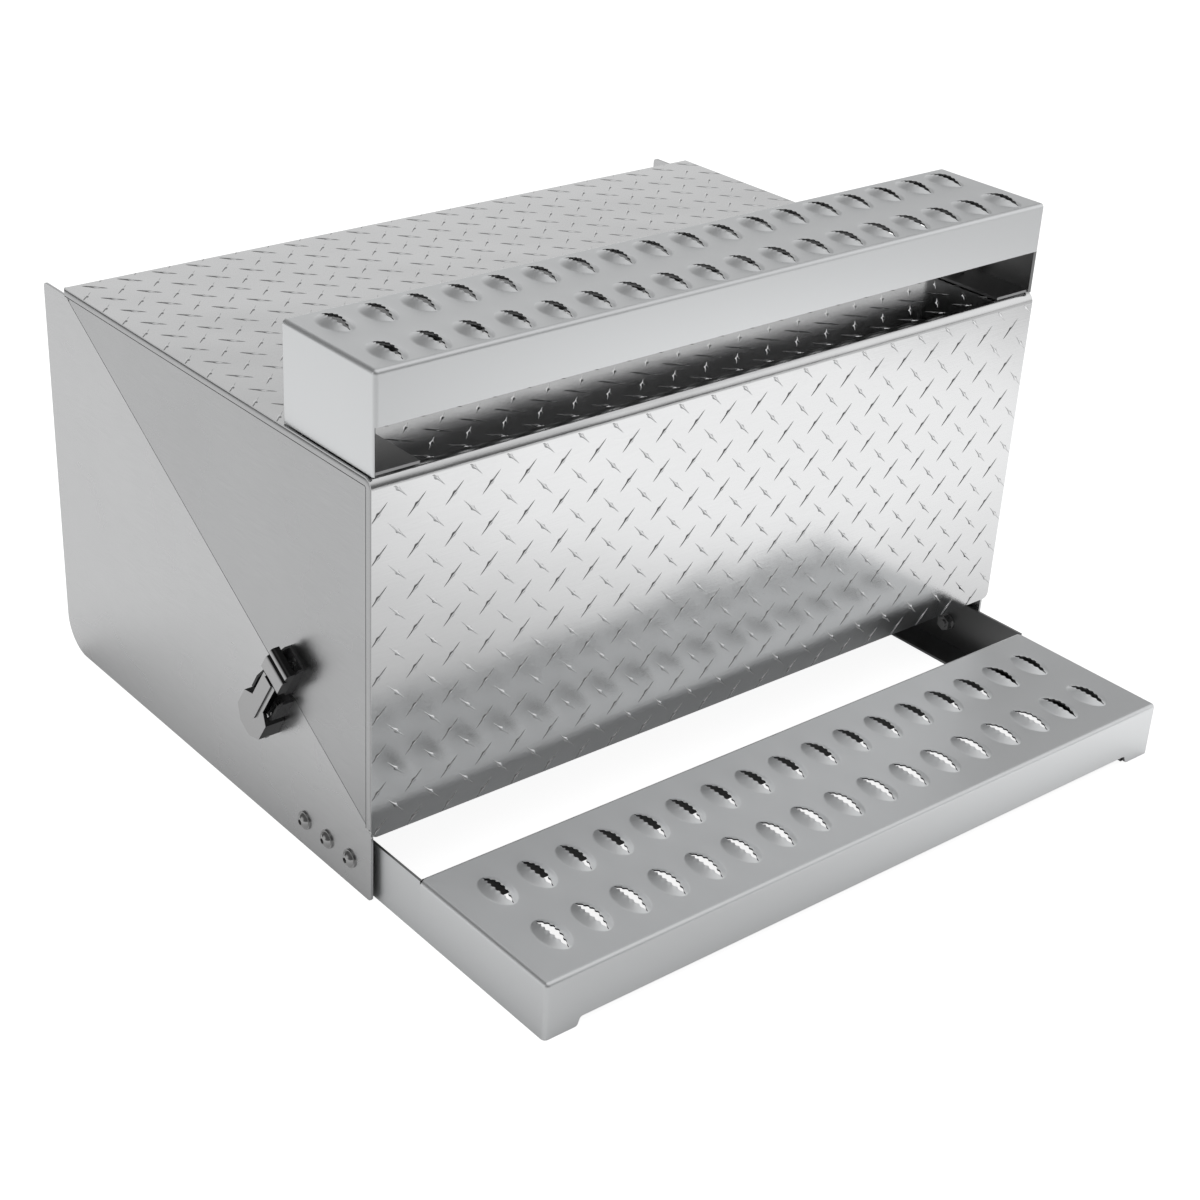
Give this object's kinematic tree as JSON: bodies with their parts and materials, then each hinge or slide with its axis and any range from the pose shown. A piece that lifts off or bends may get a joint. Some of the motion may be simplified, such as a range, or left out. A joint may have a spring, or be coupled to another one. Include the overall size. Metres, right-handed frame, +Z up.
{
  "type": "truck step toolbox",
  "caption": "Tread plate toolbox for a truck frame, with a wedge-shaped swing-up lid, a traction step bolted on the lid and a lower traction step on two arms.",
  "frame": {"origin": "on the ground, at the middle of the whole part's footprint", "axes": "+X across the truck step to its right as seen from the front, +Y from the lower step to the back, +Z up"},
  "size_m": [0.966, 0.933, 0.5922],
  "materials": {
    "aluminium_sheet": "satin",
    "tread_plate": "bright",
    "step_sheet": "satin",
    "steel_zinc": "satin",
    "latch_body": "matt",
    "latch_rubber": "matt",
    "keeper_steel": "matt",
    "seal_rubber": "matt"
  },
  "bodies": {
    "box": {"side_panel_left": "aluminium_sheet", "side_panel_right": "aluminium_sheet", "tub": "aluminium_sheet", "jamb_left": "aluminium_sheet", "jamb_right": "aluminium_sheet", "jamb_seals": "seal_rubber", "sill_seal": "seal_rubber", "hinge_leaf_body": "steel_zinc", "hinge_pin": "steel_zinc", "hinge_rivets": "aluminium_sheet", "lower_step": "step_sheet", "arm_bolts": "steel_zinc", "arm_washers": "steel_zinc", "arm_spacers": "steel_zinc", "arm_nuts": "steel_zinc", "latch_base_left": "latch_body", "latch_base_right": "latch_body", "latch_pin_left": "steel_zinc", "latch_pin_right": "steel_zinc", "base_rivets": "aluminium_sheet"},
    "lid": {"lid_skin": "tread_plate", "cheek_left": "aluminium_sheet", "cheek_right": "aluminium_sheet", "hinge_leaf_lid": "steel_zinc", "upper_step": "step_sheet", "upper_bolts": "steel_zinc", "upper_washers": "steel_zinc", "upper_nuts": "steel_zinc", "latch_keeper_left": "keeper_steel", "latch_keeper_right": "keeper_steel", "keeper_rivets": "aluminium_sheet"},
    "strap_left": {"latch_strap_left": "latch_rubber"},
    "strap_right": {"latch_strap_right": "latch_rubber"}
  },
  "joints": [
    {"name": "lid_hinge", "type": "hinge", "parent": "box", "child": "lid", "pos_m": [0, 0.4143, 0.4722], "axis": [-1, 0, 0], "range_deg": [0, 85]},
    {"name": "strap_pivot_left", "type": "hinge", "parent": "box", "child": "strap_left", "pos_m": [-0.469, 0.00467, 0.12645], "axis": [0, -0.8449, -0.5348], "range_deg": [0, 90]},
    {"name": "strap_pivot_right", "type": "hinge", "parent": "box", "child": "strap_right", "pos_m": [0.469, 0.00467, 0.12645], "axis": [0, 0.8449, 0.5348], "range_deg": [0, 90]}
  ]
}
